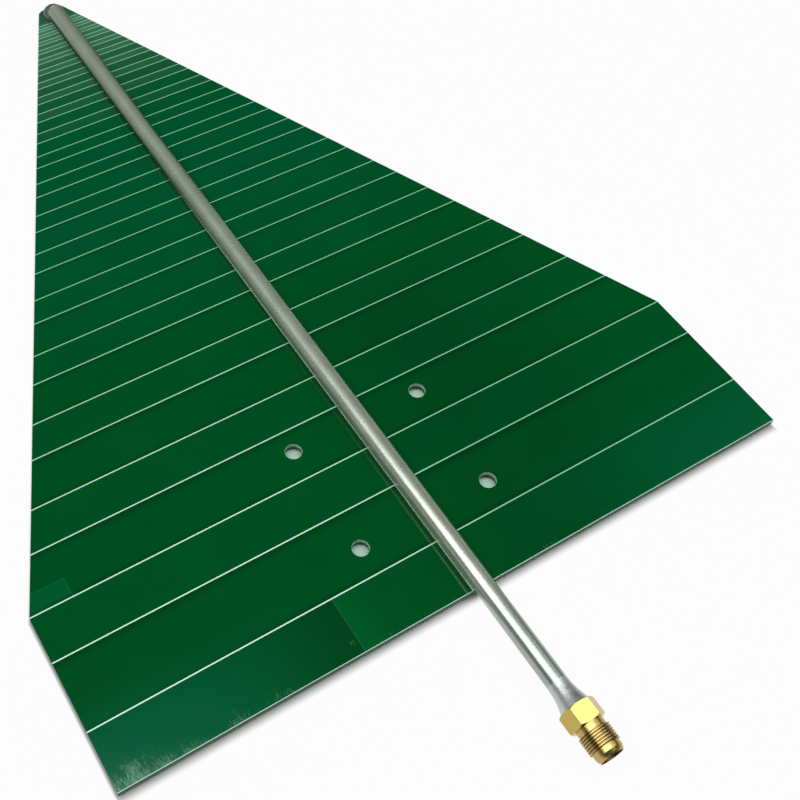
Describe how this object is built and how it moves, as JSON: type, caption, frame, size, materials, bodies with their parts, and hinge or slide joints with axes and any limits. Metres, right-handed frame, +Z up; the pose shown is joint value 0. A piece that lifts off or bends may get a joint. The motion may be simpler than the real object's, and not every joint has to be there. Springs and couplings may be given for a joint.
{
  "type": "log-periodic antenna",
  "caption": "Flat printed log-periodic antenna: a tapering green board with etched dipole teeth, fed by a rigid coax along its middle from a threaded jack behind it.",
  "frame": {"origin": "middle of the four mounting holes, on the board's underside", "axes": "+Y along the boom to the narrow tip, +Z up through the board to the face that carries the coax, +X to the right"},
  "size_m": [0.15, 0.2333, 0.0076],
  "materials": {
    "laminate": "sawn glass-epoxy",
    "copper": "bare copper foil",
    "solder_mask": "glossy green film",
    "coax_tube": "dull tinned copper",
    "insulation": "white fluoropolymer",
    "conductor": "silvered wire",
    "solder": "bright solder",
    "jack_brass": "gold-plated brass"
  },
  "bodies": {
    "root": {"laminate": "laminate", "top_copper": "copper", "bottom_copper": "copper", "end_patch": "copper", "rear_patch": "copper", "top_mask": "solder_mask", "bottom_mask": "solder_mask", "coax_tube": "coax_tube", "coax_dielectric": "insulation", "coax_centre": "conductor", "solder_seam": "solder", "tip_solder": "solder", "tip_joint": "solder", "feed_via": "copper", "jack_solder": "solder", "jack_body": "jack_brass", "jack_insulator": "insulation", "jack_contact": "jack_brass"}
  },
  "joints": []
}
